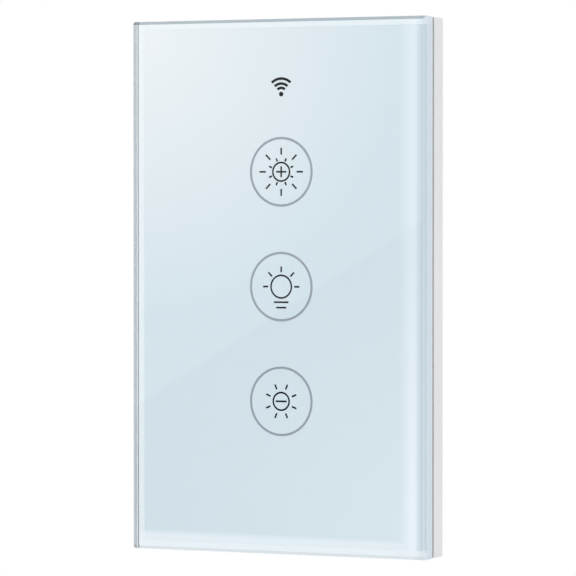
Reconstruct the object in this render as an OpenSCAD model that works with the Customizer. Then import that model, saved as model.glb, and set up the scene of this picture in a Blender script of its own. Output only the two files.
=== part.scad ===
// Wall-mounted touch dimmer switch, in millimetres.
// X points right, Z up and Y into the wall. The wall's surface is y = 0.
// The origin is the middle of the two slots that take the wall-box screws.
// A glass plate on a clip-on tray covers a frame, two circuit boards and
// a rear housing with screw terminals.

/* [Glass plate] */
// Width of the glass
glass_w = 72; // [70:1:78]
// Height of the glass
glass_h = 118; // [116:1:124]
// Thickness of the glass
glass_t = 4; // [3:0.5:6]
// Corner radius of the glass, seen from the front
glass_corner_r = 0.5; // [0.5:0.25:3]
// Polished bevel along the front edges
front_bevel = 0.6; // [0.2:0.1:1]
// Polished bevel along the back edges
back_bevel = 0.3; // [0.2:0.1:0.8]

/* [Print on the back of the glass] */
// Thickness of the ink
ink_t = 0.1; // [0.05:0.05:0.3]
// Distance from the glass edge to the ink
ink_margin = 1.8; // [0.3:0.1:2]
// Radius of a touch ring, at the middle of its line
ring_r = 7.45; // [6.2:0.05:9]
// Line width of a touch ring
ring_line = 0.48; // [0.2:0.02:0.8]
// Distance between the centres of two rings
ring_pitch = 25.35; // [20:0.05:27]
// Outer radius of the largest pictogram
icon_r = 5.3; // [4:0.1:6]
// Line width of the pictograms
icon_line = 0.36; // [0.2:0.02:0.5]
// Height of the wireless mark's dot above the middle of the glass
wireless_z = 42.5; // [41:0.5:48]

/* [Tray] */
// Depth of the tray
tray_depth = 5; // [4.6:0.1:7]
// Distance from the glass edge to the tray's side
tray_inset = 0.1; // [0:0.05:0.5]
// Thickness of the tray's side walls
tray_wall = 1.4; // [1:0.1:2]
// Thickness of the tray's front wall
tray_front_t = 1.2; // [0.8:0.1:1.6]
// Rounding of the tray's upright edges
tray_corner_r = 0.5; // [0.5:0.1:3]
// Bevel around the tray's back edge
tray_bevel = 0.3; // [0.1:0.1:0.8]
// Gap between the tray and the wall
wall_gap = 0.2; // [0.1:0.1:0.5]
// Thickness of the adhesive tape
tape_t = 0.6; // [0.3:0.1:1.2]
// Width of the adhesive tape
tape_w = 5; // [3:0.5:6]
// Distance from the tray's side to the tape
tape_inset = 2; // [0.3:0.1:3]
// Width of the pry slot in the tray's lower edge
pry_slot_w = 10; // [6:1:16]
// Height of the pry slot
pry_slot_t = 1; // [0.6:0.1:1.6]
// Width of the light guide
guide_w = 3.2; // [2.6:0.1:4]
// Length of a bump that clips behind the frame
clip_len = 8; // [4:1:12]
// Distance of the clip bumps from the middle
clip_z = 30; // [20:1:38]

/* [Mounting frame] */
// Gap between the tray's wall and the frame
frame_gap = 0.4; // [0.3:0.05:0.8]
// Thickness of the insulating shield
shield_t = 1.2; // [1:0.1:1.4]
// How far the shield reaches past the housing
shield_margin = 1.5; // [1:0.1:3]
// Width of the frame's rim
rim_w = 1.6; // [1:0.1:2.5]
// Gap between the frame's rim and the tray's front wall
cover_clear = 0.3; // [0.2:0.05:0.6]
// Distance between the two wall-box screws
box_screw_pitch = 83.3; // [82.8:0.1:85]
// Width of a wall-box screw slot
slot_w = 4.2; // [3.8:0.1:4.6]
// Length of a wall-box screw slot, end to end
slot_len = 6; // [5:0.2:7]
// Thickness of the steel ears
ear_t = 1; // [0.8:0.1:1.4]
// Width of a steel ear
ear_w = 22; // [20:1:28]
// Radius of a stake that holds an ear
stake_r = 1.2; // [0.8:0.1:1.5]
// Diameter of the recess for a wall-box screw's head
screw_recess_d = 9; // [8:0.5:10]
// Depth of the recess that takes the housing's rim
rim_recess = 0.4; // [0.2:0.1:0.7]

/* [Rear housing] */
// Width of the rear housing
housing_w = 47; // [45:0.5:52]
// Height of the rear housing
housing_h = 69; // [68:0.5:71]
// Wall thickness of the rear housing
housing_wall = 1.7; // [1.2:0.1:2]
// Rounding of the housing's upright edges
housing_corner_r = 3; // [1:0.5:5]
// Radius of the housing's screw bosses
boss_r = 3; // [2.6:0.1:3.5]
// How far a board's edge lies on its ledge
ledge_overlap = 0.9; // [0.5:0.1:1.5]
// Length of a board ledge
ledge_len = 9; // [5:1:12]

/* [Housing's outside] */
// Width and height of the shallow recess for a label
label_size = [34, 25];
// Height of the recess for the terminals' signs
sign_h = 5; // [3:0.5:6]
// Depth of both recesses
recess_t = 0.3; // [0.2:0.1:0.6]
// Vent slots in each side
vents = 5; // [3:1:5]
// Height of a vent slot
vent_w = 1.1; // [0.8:0.1:1.6]
// Distance between two vent slots
vent_pitch = 2.6; // [2.2:0.1:3]

/* [Housing screws] */
// Radius of a housing screw's shank
housing_screw_r = 1.25; // [1:0.05:1.5]
// Length of a housing screw's shank
housing_screw_len = 9; // [6:0.5:12]
// Radius of a housing screw's head
housing_head_r = 2.2; // [1.9:0.1:2.5]
// Thickness of a housing screw's head
housing_head_t = 0.7; // [0.5:0.1:0.9]
// Thickness of the shield under a housing screw's head
head_floor_t = 0.4; // [0.3:0.1:0.5]

/* [Circuit boards] */
// Thickness of the boards
board_t = 1.6; // [1:0.1:1.8]
// Gap between the housing's wall and the touch board
board_gap = 0.6; // [0.3:0.1:1]
// Gap between the shield's plate and the touch board
pad_t = 0.4; // [0.2:0.1:0.6]
// Free depth between the parts on the touch board and the power board
stack_clear = 3.4; // [2.8:0.1:5]

/* [Touch board] */
// Outer radius of a touch spring
spring_r = 3.1; // [2.5:0.1:3.6]
// Radius of the spring wire
spring_wire_r = 0.22; // [0.15:0.01:0.25]
// Turns of a touch spring
spring_turns = 4; // [3:0.5:4.5]
// Gap between the springs or shades and the print at rest
touch_clear = 0.3; // [0.2:0.05:0.6]
// Wall of a light shade
shade_wall = 0.8; // [0.5:0.1:1]
// Width, height and thickness of an indicator lamp
led_size = [1.25, 2, 0.8];
// Width, height and thickness of the touch chip
chip_size = [9.9, 3.9, 1.5];
// Width, height and thickness of the wireless board
radio_board_size = [16, 24, 0.8];
// Width, height and thickness of the wireless module's can
radio_can_size = [12, 15, 2.3];

/* [Board connector] */
// Pins in each of the connector's two rows
pins_per_row = 4; // [2:1:5]
// Distance between two pins
pin_pitch = 2.54; // [2:0.01:2.54]
// Radius of a pin
pin_r = 0.32; // [0.25:0.01:0.4]
// Height of the pin header
header_h = 2.5; // [2:0.1:3]

/* [Power board parts] */
// Width, height and depth of the film capacitor
film_cap_size = [13, 6, 10];
// Width, height and depth of the fuse
fuse_size = [8.4, 4, 7.5];
// Radius of the surge varistor
varistor_r = 4; // [3:0.1:4.8]
// Thickness of the surge varistor
varistor_t = 3.4; // [2.5:0.1:4.4]
// Outer radius of the choke core
choke_r = 6; // [5:0.1:6.5]
// Inner radius of the choke core
choke_hole_r = 3; // [2.5:0.1:3.6]
// Height of the choke core
choke_h = 5; // [4:0.1:7]
// Turns of wire on the choke
choke_turns = 14; // [8:1:16]
// Thickness of the choke wire
choke_wire = 0.7; // [0.4:0.1:0.8]
// Width of the transformer core, height of its coil, depth of both
transformer_size = [15, 12.5, 9.5];
// Height of the transformer core along the wall
transformer_core_len = 5; // [3:0.5:8]
// Radius of a bulk capacitor
bulk_cap_r = 4.4; // [3:0.1:4.6]
// Length of a bulk capacitor
bulk_cap_len = 12; // [10:0.5:14]
// Width, height and thickness of a transistor's body
transistor_size = [10, 9, 4.4];
// Width and height of the heat sink
heat_sink_size = [22, 19];
// Thickness of the heat sink's sheet
heat_sink_t = 1.5; // [1:0.1:2]
// Height of the heat sink's side fins
heat_sink_fin = 3.5; // [2:0.1:4]

/* [Screw terminals] */
// Distance between two terminals
terminal_pitch = 7.6; // [7.4:0.1:8.2]
// Height of the terminal block along the wall
block_len = 11; // [11:0.5:13]
// Depth of a wire entry in the block
entry_depth = 2.6; // [2:0.1:2.8]
// Space for the wire when the clamp is open
wire_space = 2.4; // [2.3:0.1:3.2]
// Radius of a terminal screw's shank
screw_r = 1.5; // [1.2:0.05:1.6]
// Thread pitch of a terminal screw
screw_pitch = 0.5; // [0.3:0.05:0.5]
// Turns from open to clamped
screw_travel_turns = 4.5; // [3:0.5:4.5]
// Radius of a terminal screw's head
head_r = 2.4; // [2:0.1:2.6]
// Thickness of a terminal screw's head
head_t = 1.6; // [1.2:0.1:2.4]
// Width of a clamp
clamp_w = 5.2; // [5:0.1:5.6]
// Height of a clamp along the wall
clamp_len = 5; // [4.4:0.1:6]
// Side and floor thickness of a clamp
clamp_wall = 0.8; // [0.5:0.1:0.85]
// Thickness of a clamp's threaded wall
clamp_nut_t = 1.2; // [0.8:0.1:2]
// Thickness of a contact bar
contact_t = 0.8; // [0.6:0.1:1.2]
// Gap around a clamp in the block
clamp_clear = 0.2; // [0.1:0.05:0.4]
// Thickness of the block's floor
block_floor = 0.8; // [0.5:0.1:1.5]
// Thickness of the shoulder under a terminal screw's head
shoulder_t = 0.6; // [0.4:0.1:1.2]
// Width of a wire entry
entry_w = 4.8; // [4.4:0.1:5.2]

/* [Hidden] */
$fn = 64;

// Small amounts shared by several pieces
seat_clear = 0.05;
hole_clear = 0.2;
press_clear = 0.02;
cut = 1;
terminals = 4;

// Stations along Y, from the wall to the front of the glass
tray_back = -wall_gap;
tray_front = tray_back - tray_depth;
print_back = tray_front - tape_t;
glass_back = print_back - ink_t;
glass_front = glass_back - glass_t;
tray_inner = tray_front + tray_front_t;
base_front = tray_inner + cover_clear;
frame_front = base_front + shield_t;
frame_t = -frame_front;
board_front = frame_front + pad_t;
board_back = board_front + board_t;
rim_front = min(-rim_recess, board_back);
housing_front = rim_front + press_clear;
spring_front = print_back + touch_clear;

// Outlines seen from the front
tray_w = glass_w - 2 * tray_inset;
tray_h = glass_h - 2 * tray_inset;
frame_w = tray_w - 2 * (tray_wall + frame_gap);
frame_h = tray_h - 2 * (tray_wall + frame_gap);
shield_w = housing_w + 2 * shield_margin;
shield_h = housing_h + 2 * shield_margin;
inner_w = housing_w - 2 * housing_wall;
inner_h = housing_h - 2 * housing_wall;
touch_board_w = inner_w - 2 * board_gap;
board_h = inner_h - 2 * board_gap;
touch_ledge = board_gap + ledge_overlap;
power_board_w = inner_w - 2 * touch_ledge - board_gap;
power_ledge = (inner_w - power_board_w) / 2 + ledge_overlap;
boss_inset = boss_r - 1.2;
boss_x = inner_w / 2 - boss_inset;
boss_z = inner_h / 2 - boss_inset;
notch_x = boss_x - boss_r - board_gap;
notch_z = boss_z - boss_r - board_gap;

// Touch fields
RING_Z = [ring_pitch, 0, -ring_pitch];
shade_r = ring_r - ring_line / 2;
shade_hole_r = shade_r + 0.4;
led_x = (spring_r + shade_r - shade_wall) / 2;
wireless_led_z = board_h / 2 - led_size[1];
guide_x = shade_hole_r + guide_w / 2 + 1.5;
guide_bend_z = wireless_z - 5;
guide_head = 6;
guide_head_z = wireless_z + 1.7;

// Depths behind the wall's surface
radio_h = radio_board_size[2] + radio_can_size[2];
power_front = board_back + max(radio_h, header_h, chip_size[2])
    + stack_clear;
power_back = power_front + board_t;
clamp_low = power_back + block_floor + clamp_clear;
wire_low = clamp_low + clamp_wall;
contact_low = wire_low + wire_space;
contact_high = contact_low + contact_t;
nut_low = contact_high + clamp_clear;
nut_high = nut_low + clamp_nut_t;
clamp_travel = screw_pitch * screw_travel_turns;
shoulder_low = nut_high + clamp_travel + clamp_clear;
shoulder_high = shoulder_low + shoulder_t;
head_low = shoulder_high + seat_clear;
head_high = head_low + head_t;
block_back = head_high + 0.1;
tallest_part = max(film_cap_size[2], fuse_size[2], choke_h + 2 * choke_wire,
    transformer_size[2], 2 * bulk_cap_r, 2 * varistor_r + 0.8,
    transistor_size[2] + heat_sink_t + heat_sink_fin);
housing_inner = max(block_back, power_back + tallest_part) + hole_clear;
housing_back = housing_inner + housing_wall;

// Places of the terminals
block_w = terminals * terminal_pitch;
block_low_z = -inner_h / 2 + 0.3;
block_high_z = block_low_z + block_len;
clamp_z = block_low_z + entry_depth + clamp_clear + clamp_len / 2;
entry_low = power_back + block_floor;
entry_h = contact_high - entry_low + clamp_clear;
contact_w = clamp_w - 2 * clamp_wall - 2 * clamp_clear;
bar_end_z = block_high_z - 1;
tail_r = 0.5;
tail_z = bar_end_z - tail_r;
function terminal_x(i) = (i - (terminals - 1) / 2) * terminal_pitch;

// Places of the parts on the back of the power board
row_gap = 1.4;
left_x = -inner_w / 2 + power_ledge + hole_clear;
row_1 = block_high_z + row_gap;
row_1_h = max(film_cap_size[1], fuse_size[1], varistor_t);
row_2 = row_1 + row_1_h + row_gap;
row_2_h = max(2 * choke_r + 2 * choke_wire, transformer_size[1]);
row_3 = row_2 + row_2_h + row_gap;
film_cap_x = left_x + film_cap_size[0] / 2;
varistor_x = left_x + film_cap_size[0] + row_gap + varistor_r;
fuse_x = varistor_x + varistor_r + row_gap + fuse_size[0] / 2;
choke_x = left_x + choke_r + choke_wire;
transformer_x = choke_x + choke_r + choke_wire + row_gap
    + transformer_size[0] / 2;
heat_sink_x = left_x + bulk_cap_len + row_gap + heat_sink_size[0] / 2;
heat_sink_z = row_3 + heat_sink_size[1] / 2;
transistor_pitch = transistor_size[0] + 1;
header_x = -touch_board_w / 2 + 6;
header_z = notch_z - 6.4;
radio_x = touch_board_w / 2 - radio_board_size[0] / 2 - touch_ledge;
radio_z = notch_z - radio_board_size[1] / 2 - 1;
ledge_z = -board_h / 10;
chip_z = ledge_z - chip_size[1] - 2;

// Extrudes an outline in X and Z from y0 by t towards the wall.
module slab(y0, t) {
    translate([0, y0 + t, 0]) rotate([90, 0, 0])
        linear_extrude(height = t) children();
}

// A cylinder along Y, from y0 by len towards the wall.
module rod(y0, len, r) {
    slab(y0, len) circle(r = r);
}

// A box by its middle in X and Z, and its start in Y.
module block(x, y0, z, size) {
    translate([x - size[0] / 2, y0, z - size[1] / 2])
        cube([size[0], size[2], size[1]]);
}

module rounded_rect(w, h, r) {
    square([w - 2 * r, h], center = true);
    square([w, h - 2 * r], center = true);
    for (sx = [-1, 1], sy = [-1, 1])
        translate([sx * (w / 2 - r), sy * (h / 2 - r)]) circle(r = r);
}

// Section across a plate whose front and back edges are bevelled.
module bevelled_section(w, t, front, back) {
    polygon([
        [-w / 2 + front, 0], [w / 2 - front, 0], [w / 2, front],
        [w / 2, t - back], [w / 2 - back, t], [-w / 2 + back, t],
        [-w / 2, t - back], [-w / 2, front]
    ]);
}

// A plate with rounded corners, bevelled along its front and back edges.
module bevelled_plate(w, h, r, y0, t, front, back) {
    intersection() {
        slab(y0, t) rounded_rect(w, h, r);
        translate([0, y0, -h / 2 - cut]) linear_extrude(height = h + 2 * cut)
            bevelled_section(w, t, front, back);
        translate([-w / 2 - cut, y0, 0]) rotate([0, 90, 0])
            linear_extrude(height = w + 2 * cut)
                bevelled_section(h, t, front, back);
    }
}

// A board with its corners cut out, where the housing's bosses pass.
module board_outline(w, clear) {
    square([w + 2 * clear, 2 * (notch_z + clear)], center = true);
    square([2 * (notch_x + clear), board_h + 2 * clear], center = true);
}

module each_corner(x, z) {
    for (sx = [-1, 1], sz = [-1, 1]) translate([sx * x, 0, sz * z]) children();
}

// Print

module ring_mark(r, line) {
    difference() {
        circle(r = r + line / 2);
        circle(r = r - line / 2);
    }
}

module touch_ring_outline(i, grow) {
    translate([0, RING_Z[i]]) ring_mark(ring_r, ring_line + 2 * grow);
}

// Strokes that point away from a centre, from radius r0 to r1.
module rays(r0, r1, line, angles) {
    for (a = angles) rotate(a) stroke((r0 + r1) / 2, 0, r1 - r0, line);
}

module stroke(x, z, len, line) {
    translate([x, z]) square([len, line], center = true);
}

// An arc that spans half_a to each side of straight up.
module arc_mark(r, line, half_a) {
    intersection() {
        ring_mark(r, line);
        polygon([[0, 0], 3 * r * [-sin(half_a), cos(half_a)],
            [0, 6 * r], 3 * r * [sin(half_a), cos(half_a)]]);
    }
}

// The marks are drawn in units of 1/53 of the largest one's radius.
icon_u = icon_r / 53;

module brighter_mark(grow) {
    line = icon_line + 2 * grow;
    ring_mark(20.5 * icon_u, line);
    stroke(0, 0, 25 * icon_u + 2 * grow, line);
    stroke(0, 0, line, 24 * icon_u + 2 * grow);
    rays(38 * icon_u - grow, 53 * icon_u + grow, line, [0:45:315]);
    rays(24.5 * icon_u - grow, 32 * icon_u + grow, line, [22.5:45:337.5]);
}

module lamp_mark(grow) {
    line = icon_line + 2 * grow;
    ring_mark(25 * icon_u, line);
    rays(32 * icon_u - grow, 44.5 * icon_u + grow, line, [0:45:180]);
    stroke(0, -34.4 * icon_u, 35.5 * icon_u + 2 * grow, line);
    stroke(0, -46.3 * icon_u, 24.5 * icon_u + 2 * grow, line);
}

module dimmer_mark(grow) {
    line = icon_line + 2 * grow;
    ring_mark(19.5 * icon_u, line);
    stroke(0, 0, 26.5 * icon_u + 2 * grow, line);
    rays(28.5 * icon_u - grow, 40 * icon_u + grow, line, [22.5:45:337.5]);
}

module wireless_mark(grow) {
    line = 1.5 * icon_line + 2 * grow;
    circle(r = 5 * icon_u + grow);
    for (r = [13.6, 23.2, 34.2]) arc_mark(r * icon_u, line, 42);
}

module icon_outline(i, grow) {
    if (i == 0) translate([0, RING_Z[0]]) brighter_mark(grow);
    if (i == 1) translate([0, RING_Z[1]]) lamp_mark(grow);
    if (i == 2) translate([0, RING_Z[2]]) dimmer_mark(grow);
    if (i == 3) translate([0, wireless_z]) wireless_mark(grow);
}

module glass_panel() {
    color([0.86, 0.93, 0.95, 0.35])
        bevelled_plate(glass_w, glass_h, glass_corner_r, glass_back - glass_t,
            glass_t, front_bevel, back_bevel);
}

module back_print() {
    color([0.83, 0.89, 0.92]) slab(glass_back, ink_t) difference() {
        rounded_rect(glass_w - 2 * ink_margin, glass_h - 2 * ink_margin,
            glass_corner_r);
        for (i = [0:2]) touch_ring_outline(i, press_clear);
        for (i = [0:3]) icon_outline(i, press_clear);
    }
}

module touch_ring(i) {
    color([0.55, 0.6, 0.64]) slab(glass_back, ink_t) touch_ring_outline(i, 0);
}

module icon(i) {
    color([0.12, 0.14, 0.16]) slab(glass_back, ink_t) icon_outline(i, 0);
}

// Tray behind the glass

module panel_tape() {
    outer_w = tray_w - 2 * tape_inset;
    outer_h = tray_h - 2 * tape_inset;
    color([0.78, 0.79, 0.8]) slab(print_back, tape_t) difference() {
        rounded_rect(outer_w, outer_h, tray_corner_r);
        square([outer_w - 2 * tape_w, outer_h - 2 * tape_w], center = true);
    }
}

module span(x0, z0, x1, z1, clear) {
    translate([x0 - clear, z0 - clear])
        square([x1 - x0 + 2 * clear, z1 - z0 + 2 * clear]);
}

// From the lamp up past the touch opening, then to the mark.
module guide_outline(clear) {
    half = guide_w / 2;
    span(guide_x - half, wireless_led_z - half, guide_x + half,
        guide_bend_z + half, clear);
    span(-half, guide_bend_z - half, guide_x + half, guide_bend_z + half,
        clear);
    span(-half, guide_bend_z - half, half, guide_head_z, clear);
    guide_head_outline(clear);
}

module guide_head_outline(clear) {
    half = guide_head / 2;
    span(-half, guide_head_z - half, half, guide_head_z + half, clear);
}

// The bumps end just short of the frame's edge, which they hook behind.
module clip_bumps() {
    bump_x = tray_w / 2 - tray_wall;
    clip_rise = frame_gap - seat_clear;
    for (s = [-1, 1], z = [-clip_z, clip_z])
        translate([s * bump_x, tray_back - 1.4, z - clip_len / 2])
            linear_extrude(height = clip_len)
                polygon([[s * 0.3, 0], [s * -clip_rise, 0.4],
                    [s * -clip_rise, 0.8], [s * 0.3, 1.3]]);
}

module cover_tray() {
    color([0.9, 0.9, 0.91]) {
        difference() {
            bevelled_plate(tray_w, tray_h, tray_corner_r, tray_front,
                tray_depth, 0.15, tray_bevel);
            slab(tray_inner, tray_depth)
                square([tray_w - 2 * tray_wall, tray_h - 2 * tray_wall],
                    center = true);
            for (z = RING_Z) translate([0, 0, z])
                rod(tray_front - cut, tray_front_t + 2 * cut, shade_hole_r);
            slab(tray_front - cut, tray_front_t + 2 * cut)
                guide_outline(seat_clear);
            block(0, tray_back - pry_slot_t, -tray_h / 2,
                [pry_slot_w, 2 * tray_wall + cut, pry_slot_t + cut]);
        }
        clip_bumps();
    }
}

// Clear bar that leads the lamp's light to the wireless mark.
module light_guide() {
    color([0.85, 0.92, 0.95, 0.5]) {
        slab(tray_front, tray_front_t) guide_outline(0);
        slab(print_back + touch_clear, tape_t - touch_clear)
            guide_head_outline(0);
        translate([guide_x, 0, wireless_led_z])
            rod(tray_inner, cover_clear / 2, guide_w / 2 - 0.3);
    }
}

// Frame on the wall

ear_low = housing_h / 2 + 2 * hole_clear;
slot_end = box_screw_pitch / 2 + slot_len / 2;
ear_high = (slot_end + frame_h / 2 - rim_w) / 2;
stake_x = (ear_w / 2 + screw_recess_d / 2) / 2 + 0.3;

module ear_outline(clear) {
    translate([0, (ear_low + ear_high) / 2])
        square([ear_w + 2 * clear, ear_high - ear_low + 2 * clear],
            center = true);
}

module stake_outline(clear) {
    for (s = [-1, 1])
        translate([s * stake_x, box_screw_pitch / 2]) circle(r = stake_r + clear);
}

module slot_outline(w, len) {
    square([w, len - w], center = true);
    for (s = [-1, 1]) translate([0, s * (len - w) / 2]) circle(d = w);
}

module mirror_ends() {
    children();
    mirror([0, 0, 1]) children();
}

module mounting_frame() {
    rib_x = (shield_w / 2 + frame_w / 2 - rim_w) / 2;
    color([0.88, 0.88, 0.87]) {
        difference() {
            union() {
                slab(frame_front, frame_t) rounded_rect(frame_w, frame_h, 1);
                slab(base_front, shield_t) difference() {
                    rounded_rect(frame_w, frame_h, 1);
                    square([frame_w - 2 * rim_w, frame_h - 2 * rim_w],
                        center = true);
                }
                for (s = [-1, 1]) block(s * rib_x, base_front, 0,
                    [1.2, frame_h - 2 * rim_w, shield_t]);
            }
            slab(frame_front - cut, frame_t + 2 * cut)
                board_outline(touch_board_w, hole_clear);
            slab(rim_front, cut - rim_front)
                rounded_rect(housing_w + 2 * hole_clear,
                    housing_h + 2 * hole_clear, housing_corner_r);
            each_corner(boss_x, boss_z)
                rod(frame_front - cut, frame_t + 2 * cut,
                    housing_screw_r + hole_clear);
            mirror_ends() {
                slab(-ear_t, ear_t + cut) ear_outline(seat_clear);
                slab(frame_front - cut, frame_t + 2 * cut)
                    translate([0, box_screw_pitch / 2])
                        slot_outline(screw_recess_d,
                            slot_len + screw_recess_d - slot_w);
            }
            for (s = [-1, 1], z = [-clip_z, clip_z])
                block(s * frame_w / 2, tray_back - 1.6, z,
                    [1.6, clip_len + 1, 3]);
        }
        mirror_ends() slab(-ear_t, ear_t - seat_clear) stake_outline(0);
    }
}

module ear(s) {
    color([0.72, 0.73, 0.74]) mirror([0, 0, (1 - s) / 2])
        slab(-ear_t, ear_t) difference() {
            ear_outline(0);
            stake_outline(seat_clear);
            translate([0, box_screw_pitch / 2]) slot_outline(slot_w, slot_len);
        }
}

// Insulating cover over the touch board, with a light shade for each field.
module inner_shield() {
    color([0.94, 0.94, 0.93]) {
        difference() {
            union() {
                slab(base_front, shield_t)
                    rounded_rect(shield_w, shield_h, 2);
                for (z = RING_Z) translate([0, 0, z])
                    rod(spring_front, base_front - spring_front, shade_r);
            }
            for (z = RING_Z) translate([0, 0, z])
                rod(spring_front - cut, cut - spring_front,
                    shade_r - shade_wall);
            translate([guide_x, 0, wireless_led_z])
                rod(base_front - cut, shield_t + 2 * cut, guide_w / 2);
            each_corner(boss_x, boss_z) {
                rod(base_front - cut, shield_t - head_floor_t + cut,
                    housing_head_r + hole_clear);
                rod(base_front, shield_t + cut,
                    housing_screw_r + hole_clear);
            }
        }
        for (s = [-1, 1], z = [-1, 1])
            block(s * (touch_board_w / 2 - 1.2), frame_front,
                z * ring_pitch / 2, [1.6, 6, pad_t]);
    }
}

// Touch board and the parts on it

module header_holes(y0, t, r) {
    for (i = [0:pins_per_row - 1], j = [0, 1])
        translate([header_x + (j - 0.5) * pin_pitch, 0,
            header_z + (i - (pins_per_row - 1) / 2) * pin_pitch])
            rod(y0, t, r);
}

module touch_board() {
    color([0.93, 0.94, 0.92]) difference() {
        slab(board_front, board_t) board_outline(touch_board_w, 0);
        header_holes(board_front - cut, board_t + 2 * cut, pin_r + 0.1);
    }
}

// Wire coiled around Y, from the board to just behind the glass.
module touch_spring(i) {
    sides = 6;
    steps = 16;
    flat_turns = 0.4;
    coil_r = spring_r - spring_wire_r;
    y0 = board_front - spring_wire_r;
    y1 = spring_front + spring_wire_r;
    last = floor(spring_turns * steps);
    function rise(t) = min(1, max(0,
        (t - flat_turns) / (spring_turns - 2 * flat_turns)));
    points = [
        for (k = [0:last]) let (a = 360 * k / steps, y = y0
                + (y1 - y0) * rise(k / steps))
            for (j = [0:sides - 1]) let (b = 360 * j / sides,
                    r = coil_r + spring_wire_r * cos(b))
                [r * cos(a), y + spring_wire_r * sin(b), r * sin(a)]
    ];
    faces = concat(
        [[for (j = [0:sides - 1]) j]],
        [[for (j = [sides - 1:-1:0]) last * sides + j]],
        [for (k = [0:last - 1], j = [0:sides - 1]) let (n = (j + 1) % sides)
            [k * sides + j, (k + 1) * sides + n, k * sides + n]],
        [for (k = [0:last - 1], j = [0:sides - 1]) let (n = (j + 1) % sides)
            [k * sides + j, (k + 1) * sides + j, (k + 1) * sides + n]]
    );
    color([0.83, 0.84, 0.85]) translate([0, 0, RING_Z[i]])
        polyhedron(points = points, faces = faces, convexity = 4);
}

module led(x, z) {
    color([0.97, 0.96, 0.88]) block(x, board_front - led_size[2], z,
        led_size);
}

module touch_chip() {
    color([0.1, 0.1, 0.11])
        block(-touch_board_w / 4 - 1, board_back, chip_z, chip_size);
}

module wireless_board() {
    color([0.1, 0.25, 0.3])
        block(radio_x, board_back, radio_z, radio_board_size);
}

module wireless_can() {
    color([0.75, 0.76, 0.77]) block(radio_x,
        board_back + radio_board_size[2],
        radio_z - (radio_board_size[1] - radio_can_size[1]) / 2 + 1,
        radio_can_size);
}

// Connector between the boards

connector_size = [2 * pin_pitch, pins_per_row * pin_pitch];
socket_front = board_back + header_h + hole_clear;
pin_back = power_front - 1;

module pin_header() {
    color([0.08, 0.08, 0.09]) difference() {
        block(header_x, board_back, header_z,
            [connector_size[0], connector_size[1], header_h]);
        header_holes(board_back - cut, header_h + 2 * cut,
            pin_r + press_clear);
    }
}

module header_pins() {
    color([0.85, 0.7, 0.35])
        header_holes(board_front, pin_back - board_front, pin_r);
}

module header_socket() {
    color([0.08, 0.08, 0.09]) difference() {
        block(header_x, socket_front, header_z, [connector_size[0],
            connector_size[1], power_front - socket_front]);
        header_holes(socket_front - cut,
            pin_back + hole_clear - socket_front + cut, pin_r + 0.1);
    }
}

// Power board and the parts on its back

module power_board() {
    color([0.18, 0.42, 0.26]) difference() {
        slab(power_front, board_t) board_outline(power_board_w, 0);
        for (i = [0:terminals - 1]) translate([terminal_x(i), 0, tail_z])
            rod(power_front - cut, board_t + 2 * cut, tail_r + hole_clear);
    }
}

module film_capacitor() {
    color([0.88, 0.75, 0.2]) block(film_cap_x, power_back,
        row_1 + film_cap_size[1] / 2, film_cap_size);
}

module fuse() {
    color([0.15, 0.15, 0.16]) block(fuse_x, power_back,
        row_1 + fuse_size[1] / 2, fuse_size);
}

module surge_varistor() {
    lead_len = 0.8;
    color([0.15, 0.35, 0.65]) {
        translate([varistor_x, power_back + lead_len + varistor_r, row_1])
            cylinder(h = varistor_t, r = varistor_r);
        for (s = [-1, 1])
            translate([varistor_x + s * varistor_r / 2, 0,
                row_1 + varistor_t / 2])
                rod(power_back, lead_len + varistor_r / 2, 0.35);
    }
}

choke_z = row_2 + row_2_h / 2;

module choke_core() {
    color([0.25, 0.3, 0.27]) translate([choke_x, 0, choke_z])
        slab(power_back + choke_wire, choke_h) difference() {
            circle(r = choke_r);
            circle(r = choke_hole_r);
        }
}

// Each turn of wire passes round the ring's section.
module choke_winding() {
    color([0.72, 0.4, 0.2]) translate([choke_x, 0, choke_z])
        difference() {
            intersection() {
                slab(power_back, choke_h + 2 * choke_wire) difference() {
                    circle(r = choke_r + choke_wire);
                    circle(r = choke_hole_r - choke_wire);
                }
                slab(power_back, choke_h + 2 * choke_wire)
                    for (i = [0:choke_turns - 1]) rotate(360 * i / choke_turns)
                        translate([choke_r, 0])
                            square([2 * choke_r, choke_wire], center = true);
            }
            slab(power_back + choke_wire, choke_h) difference() {
                circle(r = choke_r + press_clear);
                circle(r = choke_hole_r - press_clear);
            }
        }
}

transformer_z = row_2 + row_2_h / 2;
limb_t = 2.4;

// Outer ring and middle limb of the core, around the wound bobbin.
module transformer_core() {
    w = transformer_size[0];
    h = transformer_size[1];
    d = transformer_size[2];
    color([0.2, 0.2, 0.21]) difference() {
        block(transformer_x, power_back, transformer_z, [w, transformer_core_len, d]);
        for (s = [-1, 1])
            block(transformer_x + s * w / 4, power_back + limb_t / 2,
                transformer_z, [w / 2 - limb_t,
                    transformer_core_len + cut, d - limb_t]);
    }
}

module transformer_coil() {
    w = transformer_size[0];
    h = transformer_size[1];
    d = transformer_size[2];
    color([0.9, 0.78, 0.25]) difference() {
        block(transformer_x, power_back + limb_t / 2, transformer_z,
            [w - limb_t, h, d - limb_t]);
        block(transformer_x, power_back, transformer_z, [limb_t,
            transformer_core_len, d]);
    }
}

// A can that lies on the board, with its axis along Z.
module bulk_capacitor(i) {
    gap = 1;
    z = row_3 + bulk_cap_r + i * (2 * bulk_cap_r + gap);
    color([0.15, 0.17, 0.3])
        translate([left_x, power_back + bulk_cap_r, z]) rotate([0, 90, 0])
            cylinder(h = bulk_cap_len, r = bulk_cap_r);
}

module power_transistor(i) {
    color([0.12, 0.12, 0.13])
        block(heat_sink_x + (i - 0.5) * transistor_pitch, power_back,
            heat_sink_z, transistor_size);
}

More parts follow.
